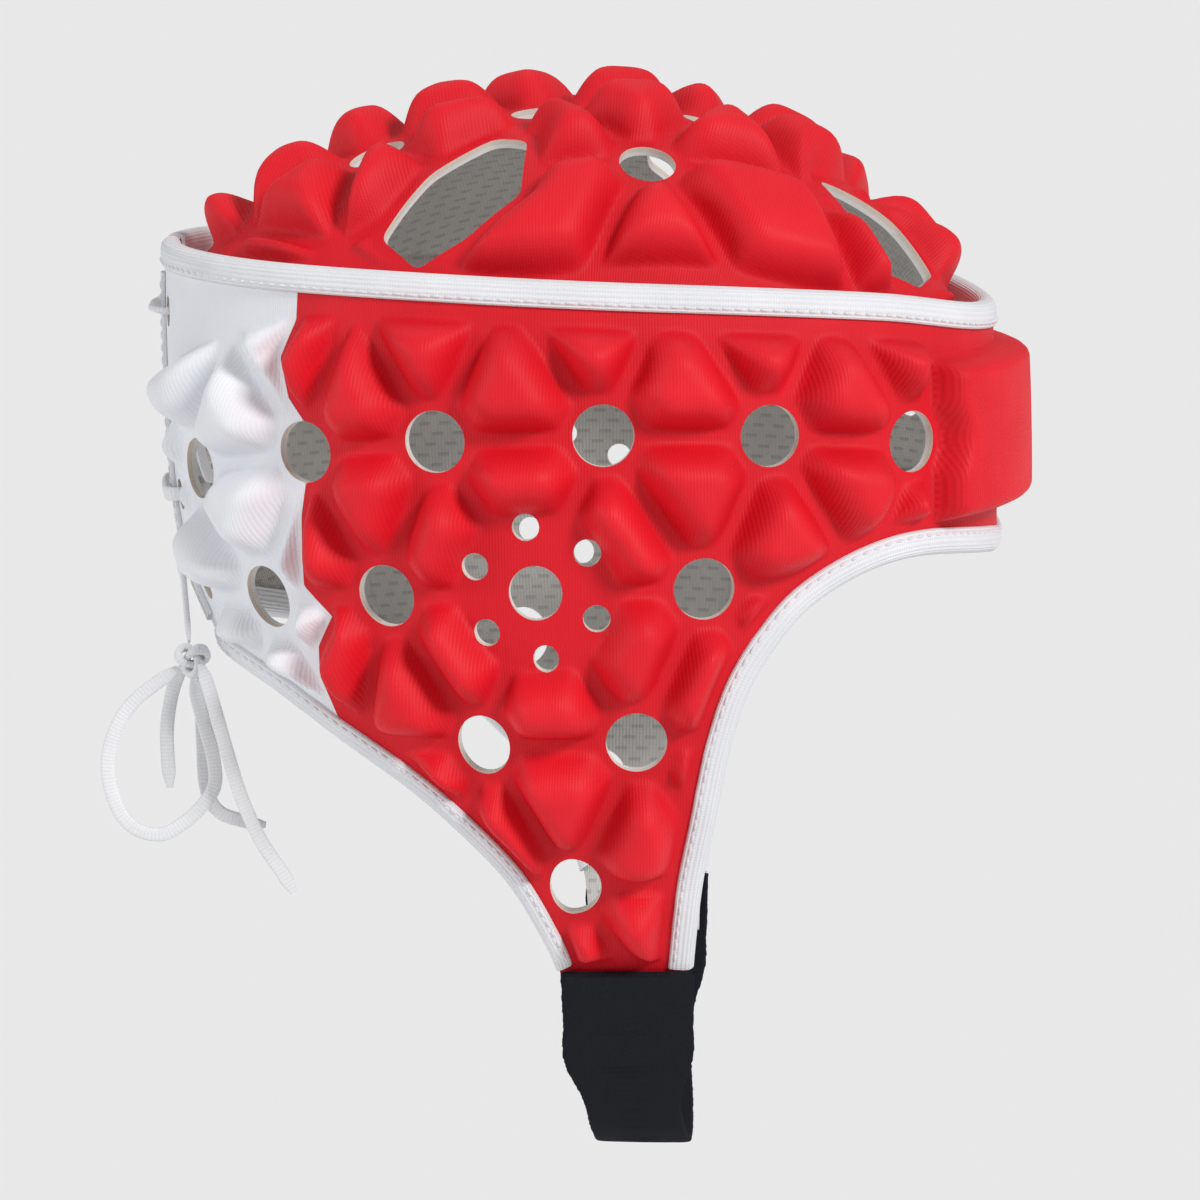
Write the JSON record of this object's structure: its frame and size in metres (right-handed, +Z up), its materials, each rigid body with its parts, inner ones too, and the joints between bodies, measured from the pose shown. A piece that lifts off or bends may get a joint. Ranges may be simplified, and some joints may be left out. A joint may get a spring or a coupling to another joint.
{
  "type": "padded sports head guard",
  "caption": "Padded soft head guard with ear flaps, a vented crown with windows, a laced back and a chin strap.",
  "frame": {"origin": "top of the wearer's head, under the middle of the crown, where the cap is held up", "axes": "+X to the forehead, +Y to the wearer's left, +Z up"},
  "size_m": [0.2245, 0.1716, 0.266],
  "materials": {
    "red_cloth": "satin knit",
    "white_cloth": "satin knit",
    "lining_mesh": "matt mesh",
    "binding_knit": "ribbed knit",
    "loop_tape": "loop pile",
    "lace_braid": "flat braid"
  },
  "bodies": {
    "root": {"headband": "red_cloth", "headband_lining": "lining_mesh", "rear_panel_right": "white_cloth", "rear_lining_right": "lining_mesh", "rear_panel_left": "white_cloth", "rear_lining_left": "lining_mesh", "crown": "red_cloth", "crown_lining": "lining_mesh", "top_binding": "binding_knit", "face_binding": "binding_knit", "nape_binding_right": "binding_knit", "nape_binding_left": "binding_knit", "laced_binding_right": "binding_knit", "laced_binding_left": "binding_knit", "chin_strap": "loop_tape", "lace": "lace_braid", "lace_knot": "lace_braid", "lace_bow": "lace_braid", "lace_end_long": "lace_braid", "lace_end_second": "lace_braid", "lace_end_short": "lace_braid"}
  },
  "joints": []
}
